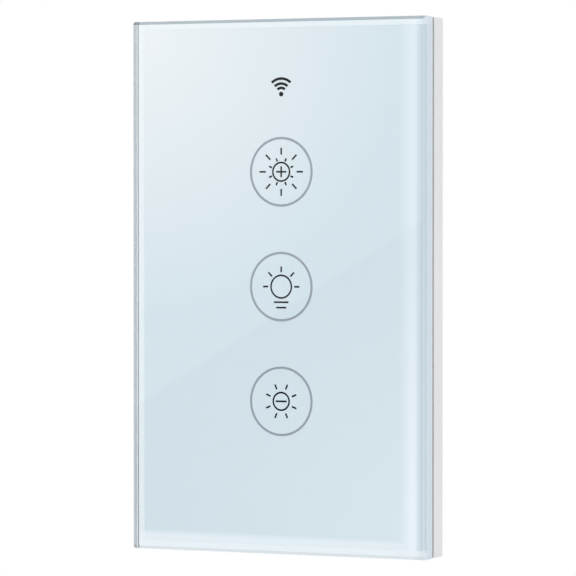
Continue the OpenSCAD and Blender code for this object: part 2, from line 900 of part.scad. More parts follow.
module heat_sink() {
    y0 = power_back + transistor_size[2];
    x = heat_sink_x;
    z = heat_sink_z;
    color([0.78, 0.79, 0.8]) {
        block(x, y0, z, [heat_sink_size[0], heat_sink_size[1], heat_sink_t]);
        for (s = [-1, 1])
            block(x, y0, z + s * (heat_sink_size[1] - heat_sink_t) / 2,
                [heat_sink_size[0], heat_sink_t,
                    heat_sink_t + heat_sink_fin]);
    }
}

// Screw terminals

module contact_shape(i, clear) {
    x = terminal_x(i);
    bar_low = clamp_z - clamp_len / 2 + 0.3;
    block(x, contact_low - clear, (bar_low + bar_end_z) / 2,
        [contact_w + 2 * clear, bar_end_z - bar_low, contact_t + 2 * clear]);
}

module terminal_block() {
    color([0.2, 0.5, 0.35]) difference() {
        block(0, power_back, (block_low_z + block_high_z) / 2,
            [block_w, block_len, block_back - power_back]);
        for (i = [0:terminals - 1]) {
            x = terminal_x(i);
            block(x, power_back + block_floor, clamp_z,
                [clamp_w + 2 * clamp_clear, clamp_len + 2 * clamp_clear,
                    shoulder_low - power_back - block_floor]);
            block(x, entry_low, block_low_z,
                [entry_w, 2 * entry_depth + cut, entry_h]);
            contact_shape(i, 0);
            translate([x, 0, clamp_z]) {
                rod(shoulder_low - cut, shoulder_t + 2 * cut,
                    screw_r + 0.1);
                rod(shoulder_high, block_back, head_r + 0.1);
            }
            translate([x, 0, tail_z]) rod(power_back - cut,
                contact_low - power_back + cut, tail_r + 0.1);
        }
    }
}

module terminal_contact(i) {
    color([0.85, 0.6, 0.35]) {
        contact_shape(i, 0);
        translate([terminal_x(i), 0, tail_z])
            rod(power_front - 1, contact_low - power_front + 1.2, tail_r);
    }
}

// Turns in its seat above the contact bar, and draws the clamp along Y.
module terminal_screw(i) {
    x = terminal_x(i);
    tip = contact_high + seat_clear;
    drive_t = head_t / 2;
    color([0.75, 0.76, 0.77]) difference() {
        translate([x, 0, clamp_z]) {
            rod(tip, head_low - tip + 0.1, screw_r);
            rod(head_low, head_t, head_r);
        }
        block(x, head_high - drive_t, clamp_z,
            [2 * head_r + cut, 0.8, drive_t + cut]);
        block(x, head_high - drive_t, clamp_z,
            [0.8, head_r * 1.2, drive_t + cut]);
    }
}

// Square loop with a threaded wall, which lifts the wire to the contact.
module terminal_clamp(i) {
    x = terminal_x(i);
    color([0.86, 0.74, 0.4]) difference() {
        block(x, clamp_low, clamp_z, [clamp_w, clamp_len,
            nut_high - clamp_low]);
        block(x, wire_low, clamp_z, [clamp_w - 2 * clamp_wall,
            clamp_len + cut, nut_low - wire_low]);
        translate([x, 0, clamp_z])
            rod(nut_low - cut, clamp_nut_t + 2 * cut, screw_r + seat_clear);
    }
}

// Rear housing

vent_low_z = board_h / 6 + 3.8;
sign_z = clamp_z + head_r + sign_h / 2 + 1.4;
label_z = sign_z + sign_h / 2 + label_size[1] / 2 + 4;

// Slots in both sides, above the power board's ledges.
module vent_slots() {
    y0 = power_back + 2;
    for (s = [-1, 1], i = [0:vents - 1])
        block(s * housing_w / 2, y0, vent_low_z + i * vent_pitch,
            [2 * housing_wall + 0.1, vent_w, housing_inner - 1.5 - y0]);
}

module rear_housing() {
    color([0.9, 0.9, 0.89]) difference() {
        union() {
            difference() {
                slab(housing_front, housing_back - housing_front)
                    rounded_rect(housing_w, housing_h, housing_corner_r);
                slab(housing_front - cut, housing_inner - housing_front + cut)
                    square([inner_w, inner_h], center = true);
            }
            intersection() {
                each_corner(boss_x, boss_z)
                    rod(housing_front, housing_back - housing_front, boss_r);
                slab(housing_front, housing_back - housing_front)
                    square([housing_w - housing_wall,
                        housing_h - housing_wall], center = true);
            }
            for (s = [-1, 1]) {
                block(s * (inner_w / 2 - touch_ledge / 2 + 0.2),
                    board_back, ledge_z, [touch_ledge + 0.4, ledge_len, 2.5]);
                for (z = [-board_h / 5, board_h / 6])
                    block(s * (inner_w / 2 - power_ledge / 2 + 0.2),
                        power_back, z, [power_ledge + 0.4, 3,
                            housing_inner - power_back + 0.2]);
            }
        }
        each_corner(boss_x, boss_z)
            rod(housing_front - cut, housing_screw_len + cut + 1,
                housing_screw_r + 0.02);
        for (i = [0:terminals - 1]) {
            translate([terminal_x(i), 0, clamp_z])
                rod(housing_inner - cut, housing_wall + 2 * cut,
                    head_r + hole_clear);
            block(terminal_x(i), entry_low - hole_clear, -housing_h / 2,
                [entry_w + 2 * hole_clear, 2 * housing_wall + cut,
                    entry_h + 2 * hole_clear]);
        }
        vent_slots();
        slab(housing_back - recess_t, recess_t + cut) {
            translate([0, label_z])
                rounded_rect(label_size[0], label_size[1], 1.5);
            translate([0, sign_z])
                rounded_rect(block_w + 2, sign_h, 1.5);
        }
    }
}

module housing_screws() {
    head_back = frame_front - head_floor_t;
    head_front = head_back - housing_head_t;
    drive_t = housing_head_t * 0.6;
    color([0.7, 0.71, 0.72]) each_corner(boss_x, boss_z) difference() {
        union() {
            rod(head_front, housing_head_t, housing_head_r);
            rod(head_back - 0.1, housing_screw_len + 0.1, housing_screw_r);
        }
        for (a = [0, 90]) rotate([0, a, 0])
            block(0, head_front - cut, 0,
                [housing_head_r * 1.3, 0.6, drive_t + cut]);
    }
}

glass_panel();
back_print();
touch_ring(0);  // touch_ring_brighter
touch_ring(1);  // touch_ring_lamp
touch_ring(2);  // touch_ring_dimmer
icon(0);  // icon_brighter
icon(1);  // icon_lamp
icon(2);  // icon_dimmer
icon(3);  // icon_wireless
panel_tape();
cover_tray();
light_guide();
mounting_frame();
ear(1);  // upper_ear
ear(-1);  // lower_ear
inner_shield();
touch_board();
touch_spring(0);  // touch_spring_brighter
touch_spring(1);  // touch_spring_lamp
touch_spring(2);  // touch_spring_dimmer
led(led_x, RING_Z[0]);  // led_brighter
led(led_x, RING_Z[1]);  // led_lamp
led(led_x, RING_Z[2]);  // led_dimmer
led(guide_x, wireless_led_z);  // led_wireless
touch_chip();
wireless_board();
wireless_can();
pin_header();
header_pins();
header_socket();
power_board();
film_capacitor();
fuse();
surge_varistor();
choke_core();
choke_winding();
transformer_core();
transformer_coil();
bulk_capacitor(0);  // bulk_capacitor_1
bulk_capacitor(1);  // bulk_capacitor_2
power_transistor(0);  // power_transistor_1
power_transistor(1);  // power_transistor_2
heat_sink();
terminal_block();
terminal_contact(0);  // terminal_contact_1
terminal_contact(1);  // terminal_contact_2
terminal_contact(2);  // terminal_contact_3
terminal_contact(3);  // terminal_contact_4
terminal_screw(0);  // terminal_screw_1
terminal_screw(1);  // terminal_screw_2
terminal_screw(2);  // terminal_screw_3
terminal_screw(3);  // terminal_screw_4
terminal_clamp(0);  // terminal_clamp_1
terminal_clamp(1);  // terminal_clamp_2
terminal_clamp(2);  // terminal_clamp_3
terminal_clamp(3);  // terminal_clamp_4
rear_housing();
housing_screws();
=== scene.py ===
"""Touch dimmer wall switch: looks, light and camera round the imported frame."""

import math

import bmesh
import bpy
from mathutils import Matrix, Vector

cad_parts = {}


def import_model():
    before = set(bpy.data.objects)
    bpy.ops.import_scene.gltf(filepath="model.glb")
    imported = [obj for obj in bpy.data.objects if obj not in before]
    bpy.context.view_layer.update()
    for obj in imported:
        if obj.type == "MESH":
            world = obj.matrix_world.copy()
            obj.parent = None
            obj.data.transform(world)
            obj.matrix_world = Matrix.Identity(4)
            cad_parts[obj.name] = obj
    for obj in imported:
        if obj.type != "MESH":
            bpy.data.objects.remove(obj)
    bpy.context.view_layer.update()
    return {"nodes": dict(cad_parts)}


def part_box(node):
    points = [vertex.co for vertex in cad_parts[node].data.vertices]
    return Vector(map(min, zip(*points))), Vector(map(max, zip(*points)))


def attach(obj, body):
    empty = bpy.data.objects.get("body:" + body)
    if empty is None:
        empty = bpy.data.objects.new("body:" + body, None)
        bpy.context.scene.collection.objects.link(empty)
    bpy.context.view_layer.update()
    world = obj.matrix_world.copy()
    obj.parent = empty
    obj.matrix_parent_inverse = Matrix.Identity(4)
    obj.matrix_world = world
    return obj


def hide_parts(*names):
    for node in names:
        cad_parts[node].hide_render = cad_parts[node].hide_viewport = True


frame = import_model()
NODES = frame["nodes"]
MM = 0.001
FIELDS = ("brighter", "lamp", "dimmer")
MARKS = FIELDS + ("wireless",)


# Helpers

def set_input(socket, value):
    """Sets a socket to a number or colour, or joins an output to it."""
    if isinstance(value, bpy.types.NodeSocket):
        socket.id_data.links.new(value, socket)
    elif socket.type == "RGBA":
        socket.default_value = (*value, 1)
    else:
        socket.default_value = value


class Look:
    """A node material, built up from short calls."""

    SOCKETS = {"colour": "Base Color", "rough": "Roughness", "metal": "Metallic",
               "normal": "Normal", "ior": "IOR", "specular": "Specular IOR Level",
               "coat": "Coat Weight", "coat_rough": "Coat Roughness",
               "clear": "Transmission Weight", "scatter": "Subsurface Weight",
               "scatter_reach": "Subsurface Scale"}

    def __init__(self, name):
        self.mat = bpy.data.materials.new(name)
        self.mat.use_nodes = True
        self.tree = self.mat.node_tree
        self.shader = self.tree.nodes["Principled BSDF"]
        self.out = self.tree.nodes["Material Output"]
        self.here = self.node("ShaderNodeTexCoord").outputs["Object"]

    def node(self, kind, inputs=None, **settings):
        made = self.tree.nodes.new(kind)
        for key, value in settings.items():
            setattr(made, key, value)
        for key, value in (inputs or {}).items():
            set_input(made.inputs[key], value)
        return made

    def set(self, **sockets):
        """Sets or joins inputs of the main shader."""
        for key, value in sockets.items():
            set_input(self.shader.inputs[self.SOCKETS[key]], value)

    def stretch(self, scale):
        """Object coordinates multiplied by a vector."""
        return self.node("ShaderNodeMapping", {"Vector": self.here,
                                               "Scale": scale}).outputs[0]

    def noise(self, scale, detail=3, rough=0.5, where=None):
        return self.node("ShaderNodeTexNoise", {
            "Vector": where or self.here, "Scale": scale, "Detail": detail,
            "Roughness": rough}).outputs["Fac"]

    def cells(self, scale):
        return self.node("ShaderNodeTexVoronoi", {
            "Vector": self.here, "Scale": scale}).outputs["Distance"]

    def distance(self, point):
        """How far the surface is from a point, in metres."""
        return self.node("ShaderNodeVectorMath", {0: self.here, 1: point},
                         operation="DISTANCE").outputs["Value"]

    def math(self, how, a, b=0.0, c=None):
        made = self.node("ShaderNodeMath", {0: a, 1: b}, operation=how)
        if c is not None:
            set_input(made.inputs[2], c)
        return made.outputs[0]

    def sum(self, a, share_a, b, share_b):
        """Two values, each times its share, added up."""
        return self.math("ADD", self.math("MULTIPLY", a, share_a),
                         self.math("MULTIPLY", b, share_b))

    def ramp(self, value, low, high, to_low=0.0, to_high=1.0, smooth=False):
        """Turns the range from low to high into another, and clamps it."""
        return self.node("ShaderNodeMapRange", {
            "Value": value, "From Min": low, "From Max": high,
            "To Min": to_low, "To Max": to_high},
            interpolation_type="SMOOTHSTEP" if smooth
            else "LINEAR").outputs[0]

    def mix(self, share, a, b):
        """A colour between two: a where share is 0, b where it is 1."""
        made = self.node("ShaderNodeMix", data_type="RGBA")
        set_input(made.inputs["Factor"], share)
        set_input(made.inputs[6], a)
        set_input(made.inputs[7], b)
        return made.outputs[2]

    def split(self, vector=None):
        return self.node("ShaderNodeSeparateXYZ",
                         {0: vector or self.here}).outputs

    def facing(self):
        """The surface's own direction, as X, Y and Z outputs."""
        return self.split(self.node("ShaderNodeTexCoord").outputs["Normal"])

    def bump(self, height, distance, normal=None):
        made = self.node("ShaderNodeBump", {"Height": height,
                                            "Distance": distance})
        if normal is not None:
            set_input(made.inputs["Normal"], normal)
        return made.outputs[0]

    def soft_edge(self, radius):
        """A normal that rounds the shape's edges by a radius in metres."""
        return self.node("ShaderNodeBevel", {"Radius": radius},
                         samples=6).outputs[0]

    def rays(self):
        """What kind of ray looks at the surface."""
        return self.node("ShaderNodeLightPath").outputs

    def glow(self, **inputs):
        """A surface that gives light: Color or Strength."""
        return self.node("ShaderNodeEmission", inputs).outputs[0]

    def back_side(self):
        return self.node("ShaderNodeNewGeometry").outputs["Backfacing"]

    def mix_surfaces(self, share, a, b):
        return self.node("ShaderNodeMixShader",
                         {0: share, 1: a, 2: b}).outputs[0]

    def show(self, surface):
        """Makes a surface the one that renders."""
        self.tree.links.new(surface, self.out.inputs["Surface"])


def dress(name, look):
    """Gives a CAD node its look."""
    node = NODES[name]
    if not node.material_slots:
        node.data.materials.append(look.mat)
    for place in node.material_slots:
        place.material = look.mat


def piece(name, bm, look, body, smooth=False):
    """Makes a piece of a mesh, riding on a body, with a slot's finish."""
    bmesh.ops.recalc_face_normals(bm, faces=bm.faces)
    mesh = bpy.data.meshes.new(name)
    bm.to_mesh(mesh)
    bm.free()
    if smooth:
        mesh.shade_smooth()
    obj = bpy.data.objects.new(name, mesh)
    bpy.context.scene.collection.objects.link(obj)
    mesh.materials.append(look.mat)
    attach(obj, body)
    return obj


def box_mm(node):
    """The low and high corner of a CAD node, in millimetres."""
    return [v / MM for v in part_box(node)]


def angles(steps):
    """The angles of a circle's points."""
    return [2 * math.pi * k / steps for k in range(steps)]


PLATE_LOW, PLATE_HIGH = box_mm("glass_panel")
PLATE_W, PLATE_H = PLATE_HIGH.x - PLATE_LOW.x, PLATE_HIGH.z - PLATE_LOW.z
INK_LOW, INK_HIGH = box_mm("back_print")


# Materials

# A look's grain and edge are in millimetres, and its noises are in waves a
# metre, so that a scale of 1000 has waves of about a millimetre.

def moulded(name, colour, rough=0.42, grain=0.004, edge=0.12, tint=0.02,
            pores=3200.0):
    """Moulded plastic with a spark-eroded grain and soft edges."""
    look = Look(name)
    cloud = look.noise(38.0, detail=4, rough=0.6)
    shade = tuple(max(0.0, c - tint) for c in colour)
    light = tuple(min(1.0, c + tint / 2) for c in colour)
    pits = look.noise(pores, detail=2, rough=0.6)
    waves = look.noise(pores * 0.22)
    look.set(colour=look.mix(look.ramp(cloud, 0.3, 0.7), shade, light),
             rough=look.ramp(waves, 0.25, 0.75, rough - 0.05, rough + 0.07),
             normal=look.bump(look.sum(pits, 0.7, waves, 0.3), grain * MM,
                              look.soft_edge(edge * MM)),
             ior=1.5)
    return look


def sheet_metal(name, colour, rough=0.28, brush=(1, 1, 1), edge=0.08,
                tint=(0.03, 0.02, -0.02)):
    """Plated or brushed metal with faint stains and fine lines.

    The lines run along the axis that has the smallest number in brush."""
    look = Look(name)
    stain = look.noise(90.0, detail=5, rough=0.6)
    stained = tuple(max(0.0, min(1.0, c + t)) for c, t in zip(colour, tint))
    lines = look.noise(900.0, detail=4, rough=0.7, where=look.stretch(brush))
    scratch_depth = 0.0015 * MM
    look.set(colour=look.mix(look.ramp(stain, 0.35, 0.65), colour, stained),
             metal=1.0,
             rough=look.ramp(lines, 0.3, 0.7, rough - 0.07, rough + 0.1),
             normal=look.bump(lines, scratch_depth,
                              look.soft_edge(edge * MM)))
    return look


def board(name, mask, track_mask):
    """Circuit board: solder mask over tracks, with bare glass-fibre edges."""
    look = Look(name)
    face = look.ramp(look.math("ABSOLUTE", look.facing()[1]), 0.6, 0.9)
    xyz = look.split()
    # tracks: bands between grid lines that a coarse noise turns
    half_pitch = 0.8
    run_x, run_z = (look.math("PINGPONG", look.math("MULTIPLY", axis, 1 / MM),
                              half_pitch) for axis in (xyz[0], xyz[2]))
    turn = look.math("GREATER_THAN", look.noise(120.0, detail=1, rough=0.3),
                     0.5)
    run = look.sum(run_x, turn, run_z, look.math("SUBTRACT", 1.0, turn))
    track = look.ramp(run, 0.30, 0.36)
    weave = look.noise(2600.0, detail=1, rough=0.4)
    fibre = look.mix(look.ramp(look.noise(1500.0, detail=2), 0.35, 0.65),
                     (0.50, 0.43, 0.22), (0.66, 0.60, 0.36))
    height = look.math("ADD", track, look.math("MULTIPLY", weave, 0.15))
    look.set(colour=look.mix(face, fibre, look.mix(track, mask, track_mask)),
             rough=look.ramp(face, 0, 1, 0.75, 0.3),
             normal=look.bump(height, 0.02 * MM), ior=1.5,
             coat=0.25, coat_rough=0.2)
    return look


INK_ROUGH = 0.5
INK_RELIEF = 0.0004 * MM


def screen_mark(look):
    """The fine uneven mark that a printing screen leaves in the ink."""
    return look.noise(1400.0, detail=2)


def printed(name, colour):
    """Screen ink, seen through the glass that it is bonded to."""
    look = Look(name)
    mark = screen_mark(look)
    cloud = look.noise(16.0, detail=2)
    share = look.ramp(look.sum(mark, 0.15, cloud, 0.85), 0.35, 0.65)
    look.set(colour=look.mix(share, tuple(c * 0.99 for c in colour), colour),
             rough=INK_ROUGH, specular=0.0,
             normal=look.bump(mark, INK_RELIEF))
    return look


PALE_INK = (0.671, 0.760, 0.812), (0.677, 0.766, 0.818)
# Painted light and shade in the pale ink: its colour where light enters at the
# glass's edges, and its painted shade beside the right-hand one
PAINTED_LIGHT_UPPER_LEFT = (0.87, 0.882, 0.90)
PAINTED_LIGHT_LOWER_RIGHT = (0.865, 0.910, 0.962)
PAINTED_LIGHT_BORDER = (0.885, 0.925, 0.955)
PAINTED_SHADE_RIGHT = (0.535, 0.64, 0.70)
# How far along the print a corner's painted light reaches
CORNER_REACH = 66 * MM


def painted_light_ink(name, border=0.0):
    """Pale ink with painted light: whiter where light enters at the glass's
    edges, with painted shade beside the right-hand one.

    border is the share of the border's painted near-white light in it."""
    look = Look(name)
    mark = screen_mark(look)
    paint = look.mix(look.ramp(mark, 0.35, 0.65), *PALE_INK)
    xyz = look.split()
    middle_y = (INK_LOW.y + INK_HIGH.y) / 2

    def from_corner(x, z):
        corner = (x * MM, middle_y * MM, z * MM)
        return look.ramp(look.distance(corner), 0.0, CORNER_REACH, 1.0, 0.0)

    def near(axis, edge, start, end, most=1.0, smooth=False):
        """Rises between two distances, in millimetres, from an edge."""
        return look.ramp(axis, (edge + start) * MM, (edge + end) * MM,
                         0.0, most, smooth)

    # painted light and shade: masks for the lit corners and edges, and for the
    # shade by the right edge
    upper_left_painted_light = from_corner(PLATE_LOW.x, PLATE_HIGH.z)
    lower_right_painted_light = from_corner(PLATE_HIGH.x, PLATE_LOW.z)
    right = near(xyz[0], INK_HIGH.x, -6.2, -2.2, smooth=True)
    below = near(xyz[2], INK_LOW.z, 2.9, 1.0, 0.75, smooth=True)
    right_edge_painted_shade = near(xyz[0], INK_HIGH.x, -1.9, 0.0)
    painted_light_share = look.sum(lower_right_painted_light, 0.3,
                   right, look.ramp(lower_right_painted_light, 0.0, 1.0, 0.52, 0.8))
    paint = look.mix(look.math("MAXIMUM", painted_light_share, below), paint, PAINTED_LIGHT_LOWER_RIGHT)
    paint = look.mix(upper_left_painted_light, paint, PAINTED_LIGHT_UPPER_LEFT)
    paint = look.mix(right_edge_painted_shade, paint, PAINTED_SHADE_RIGHT)
    look.set(colour=look.mix(border, paint, PAINTED_LIGHT_BORDER), rough=INK_ROUGH,
             specular=0.0, normal=look.bump(mark, INK_RELIEF))
    return look


# How much of a ground side wall is still clear
GROUND_CLEAR = 0.3
# A ray that has bounced this often is caught between the glass's walls
MOST_BOUNCES = 6.5


def smears(look):
    return look.noise(45.0)


def clear(name, tint, rough, ior):
    """Glass or clear plastic that lets lamps shine through."""
    look = Look(name)
    look.set(colour=tint, clear=1.0, ior=ior,
             rough=look.ramp(smears(look), 0.3, 0.7, rough, rough + 0.012))
    rays = look.rays()
    lets = look.math("MAXIMUM", rays["Is Shadow Ray"], rays["Is Diffuse Ray"])
    veil = look.node("ShaderNodeBsdfTransparent",
                     {"Color": (0.95, 0.97, 0.975)}).outputs[0]
    surface = look.mix_surfaces(lets, look.shader.outputs[0], veil)
    # painted light: a caught ray ends in a glow of pale tone, standing in for the
    # light it would still gather
    caught = look.math("GREATER_THAN", rays["Ray Depth"], MOST_BOUNCES)
    look.show(look.mix_surfaces(caught, surface,
                                look.glow(Color=(0.60, 0.68, 0.73))))
    return look


def ground_edges(look, tint, sides, arris):
    """Adds ground side walls to a clear plate's look, with painted shade on its
    bevels and on the walls' insides.
    """
    facing = look.facing()
    flat = look.math("ABSOLUTE", facing[1])
    wall = look.ramp(flat, 0.25, 0.35, 1.0, 0.0)
    slope = look.ramp(flat, 0.95, 0.99, 1.0, 0.0)
    # painted shade and light: the bevels above and on the left are tinted
    # darkest, the right one lightest
    painted_light_share = look.ramp(look.math("MULTIPLY_ADD", facing[2], -0.6, facing[0]),
                    -0.42, 0.7)
    bevel = look.mix(painted_light_share, arris, tuple(0.8 * c for c in tint))
    # painted shade: walls are tinted darker where seen from inside the glass
    ground = look.mix(look.back_side(), sides, tuple(0.55 * c for c in sides))
    look.set(colour=look.mix(wall, look.mix(slope, tint, bevel), ground),
             clear=look.ramp(wall, 0.0, 1.0, 1.0, GROUND_CLEAR))


def clear_glass():
    tint = (0.955, 0.985, 0.99)
    look = clear("clear_glass_look", tint, rough=0.0, ior=1.5)
    # painted shade: arris is the darkest tint of the bevels
    ground_edges(look, tint, sides=(0.585, 0.665, 0.735),
                 arris=(0.24, 0.29, 0.32))
    return look


def clear_plastic():
    look = clear("clear_plastic_look", (0.97, 0.985, 0.99), rough=0.03,
                 ior=1.49)
    look.set(normal=look.bump(smears(look), 0.01 * MM))
    return look


def foam(name, pore, wall):
    look = Look(name)
    cells = look.cells(2400.0)
    look.set(colour=look.mix(look.ramp(cells, 0.1, 0.6), pore, wall),
             rough=0.9, specular=0.2, normal=look.bump(cells, 0.05 * MM))
    return look


def lamp_resin():
    """Yellowish resin over an indicator lamp's crystal."""
    look = Look("lamp_resin_look")
    cloud = look.noise(2500.0, detail=2)
    look.set(colour=look.mix(cloud, (0.86, 0.74, 0.30), (0.93, 0.86, 0.50)),
             rough=0.25, scatter=0.15, scatter_reach=0.5 * MM,
             normal=look.bump(cloud, 0.005 * MM))
    return look


glass = clear_glass()
guide_plastic = clear_plastic()
# painted light: the pale print is whitened at its corners and edges and shaded by
# the right edge
ink = painted_light_ink("pale_ink_painted_light_look")
# painted light: the border's near-white stands in for light entering at the
# glass's rim
border_painted_light = painted_light_ink("border_painted_light_look", border=0.62)
ring_ink = printed("grey_ink_look", (0.335, 0.37, 0.42))
dark_ink = printed("dark_ink_look", (0.006, 0.008, 0.011))
tape_foam = foam("foam_tape_look", (0.30, 0.31, 0.325), (0.40, 0.41, 0.43))
# painted shade: a darker copy of the tape's foam, for the shaded gap at the
# glass's rim
foam_painted_shade = foam("foam_painted_shade_look", (0.24, 0.24, 0.25), (0.32, 0.32, 0.33))
resin = lamp_resin()

tray_plastic = moulded("tray_plastic_look", (0.705, 0.706, 0.722), rough=0.38,
                       grain=0.003, edge=0.15)
frame_plastic = moulded("frame_plastic_look", (0.76, 0.76, 0.745), rough=0.48,
                        grain=0.006)
shield_plastic = moulded("shield_plastic_look", (0.84, 0.84, 0.82), rough=0.5,
                         grain=0.005)
housing_plastic = moulded("housing_plastic_look", (0.78, 0.78, 0.765),
                          rough=0.46, grain=0.008, edge=0.25)
terminal_plastic = moulded("terminal_plastic_look", (0.035, 0.17, 0.10),
                           grain=0.006, tint=0.01)
black_plastic = moulded("connector_plastic_look", (0.022, 0.022, 0.025),
                        rough=0.4, tint=0.006)
chip_plastic = moulded("chip_plastic_look", (0.018, 0.018, 0.02), rough=0.55,
                       grain=0.008, tint=0.005)
fuse_plastic = moulded("fuse_box_look", (0.03, 0.03, 0.033), rough=0.45,
                       tint=0.006)
film_plastic = moulded("film_box_look", (0.70, 0.49, 0.05), rough=0.3,
                       grain=0.003)
wrap = moulded("coil_wrap_look", (0.72, 0.50, 0.06), rough=0.25, grain=0.01,
               tint=0.05)
sleeve = moulded("can_sleeve_look", (0.012, 0.016, 0.055), rough=0.25,
                 grain=0.003, tint=0.004)
varistor_coat = moulded("varistor_coat_look", (0.02, 0.09, 0.36), rough=0.3,
                        grain=0.02, tint=0.01, pores=900.0)
ferrite = moulded("ferrite_look", (0.055, 0.058, 0.06), rough=0.7, grain=0.02,
                  tint=0.015)

plated = sheet_metal("plated_steel_look", (0.49, 0.50, 0.515), rough=0.3,
                     brush=(1, 1, 0.06))
wire = sheet_metal("spring_wire_look", (0.58, 0.58, 0.56), rough=0.22,
                   edge=0.02)
solder = sheet_metal("solder_look", (0.58, 0.59, 0.60), rough=0.3, edge=0.03)
can_metal = sheet_metal("can_metal_look", (0.52, 0.53, 0.54), rough=0.26,
                        brush=(0.08, 1, 1))
gold = sheet_metal("pin_metal_look", (0.83, 0.62, 0.27), rough=0.2, edge=0.03)
copper = sheet_metal("enamelled_copper_look", (0.66, 0.25, 0.09), rough=0.24,
                     edge=0.1, tint=(0.06, 0.03, 0.0))
aluminium = sheet_metal("sink_metal_look", (0.74, 0.75, 0.76), rough=0.36,
                        brush=(0.05, 1, 1))
brass = sheet_metal("contact_metal_look", (0.72, 0.62, 0.42), rough=0.27,
                    brush=(1, 1, 0.1))
screw_steel = sheet_metal("screw_steel_look", (0.56, 0.56, 0.55), rough=0.24,
                          edge=0.1)
clamp_metal = sheet_metal("clamp_metal_look", (0.78, 0.64, 0.33), rough=0.27,
                          brush=(1, 1, 0.1), edge=0.1)

white_board = board("white_board_look", (0.80, 0.81, 0.78),
                    (0.72, 0.735, 0.70))
green_board = board("green_board_look", (0.015, 0.13, 0.05),
                    (0.03, 0.22, 0.09))
blue_board = board("blue_board_look", (0.01, 0.05, 0.15), (0.02, 0.09, 0.24))

LOOKS = {
    "back_print": ink, "panel_tape": tape_foam, "cover_tray": tray_plastic,
    "light_guide": guide_plastic, "mounting_frame": frame_plastic,
    "upper_ear": plated, "lower_ear": plated, "inner_shield": shield_plastic,
    "touch_board": white_board, "touch_chip": chip_plastic,
    "wireless_board": blue_board, "wireless_can": can_metal,
    "pin_header": black_plastic, "header_pins": gold,
    "header_socket": black_plastic, "power_board": green_board,
    "film_capacitor": film_plastic, "fuse": fuse_plastic,
    "surge_varistor": varistor_coat, "choke_core": ferrite,
    "choke_winding": copper, "transformer_core": ferrite,
    "transformer_coil": wrap, "bulk_capacitor_1": sleeve,
    "bulk_capacitor_2": sleeve, "power_transistor_1": chip_plastic,
    "power_transistor_2": chip_plastic, "heat_sink": aluminium,
    "terminal_block": terminal_plastic, "rear_housing": housing_plastic,
    "housing_screws": screw_steel,
}
for field in FIELDS:
    LOOKS["touch_ring_" + field] = ring_ink
    LOOKS["touch_spring_" + field] = wire
for mark in MARKS:
    LOOKS["icon_" + mark] = dark_ink
    LOOKS["led_" + mark] = resin
for i in (1, 2, 3, 4):
    LOOKS[f"terminal_contact_{i}"] = brass
    LOOKS[f"terminal_screw_{i}"] = screw_steel
    LOOKS[f"terminal_clamp_{i}"] = clamp_metal
for name, look in LOOKS.items():
    dress(name, look)

# the thick wireless mark's ink spreads a little over the pale print
spread = NODES["icon_wireless"].modifiers.new("spread", "DISPLACE")
spread.strength = 0.05 * MM
spread.mid_level = 0.0


# Glass plate and its borders

PLATE_CORNER = 0.5


def rim_loops(profile, corner):
    """Loops round the plate for a profile of (inset from its edge, y).

    corner gives a loop's corner radius from its inset, all in millimetres."""
    quarter_steps = 12
    loops = []
    for inset, y in profile:
        w, h, r = PLATE_W / 2 - inset, PLATE_H / 2 - inset, corner(inset)
        loops.append([])
        for quarter, (sx, sz) in enumerate(((1, 1), (-1, 1), (-1, -1),
                                            (1, -1))):
            for k in range(quarter_steps + 1):
                a = math.pi / 2 * (quarter + k / quarter_steps)
                loops[-1].append(((sx * (w - r) + r * math.cos(a)) * MM,
                                  y * MM,
                                  (sz * (h - r) + r * math.sin(a)) * MM))
    return loops


def skin(bm, loops, close_ends=True):
    """Joins equal loops of 3-D points into a closed skin."""
    rings = [[bm.verts.new(p) for p in loop] for loop in loops]
    n = len(rings[0])
    for a, b in zip(rings, rings[1:]):
        for i in range(n):
            j = (i + 1) % n
            bm.faces.new((a[i], a[j], b[j], b[i]))
    if close_ends:
        bm.faces.new(rings[0])
        bm.faces.new(list(reversed(rings[-1])))


def ring_skin(bm, loops):
    """Joins loops into a skin whose last loop meets the first."""
    skin(bm, loops + [loops[0]], close_ends=False)
    bmesh.ops.remove_doubles(bm, verts=bm.verts, dist=1e-8)


def glass_plate():
    """The plate, with bevels and eased arrises, bonded to its print."""
    bond = 0.03
    # inset from the edge, and depth from the front face, then the back face
    bevel = ((0.71, 0.0), (0.68, 0.01), (0.65, 0.04), (0.035, 0.645),
             (0.01, 0.68), (0.0, 0.73))
    back_edge = ((0.0, -0.35), (0.01, -0.30), (0.03, -0.265), (0.29, -0.02),
                 (0.36, bond))
    profile = [(inset, PLATE_LOW.y + y) for inset, y in bevel]
    profile += [(inset, PLATE_HIGH.y + y) for inset, y in back_edge]
    least_corner = 0.25
    bm = bmesh.new()
    skin(bm, rim_loops(profile, lambda inset: max(
        least_corner, PLATE_CORNER - inset / 2)))
    plate = piece("glass_plate", bm, glass, "panel")
    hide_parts("glass_panel")


def band(name, look, outer, inner, front, back):
    """A flat frame between two insets from the plate's edge, in mm."""
    section = [(outer, front), (inner, front), (inner, back), (outer, back)]
    bm = bmesh.new()
    ring_skin(bm, rim_loops(section, lambda inset: PLATE_CORNER))
    piece(name, bm, look, "panel")


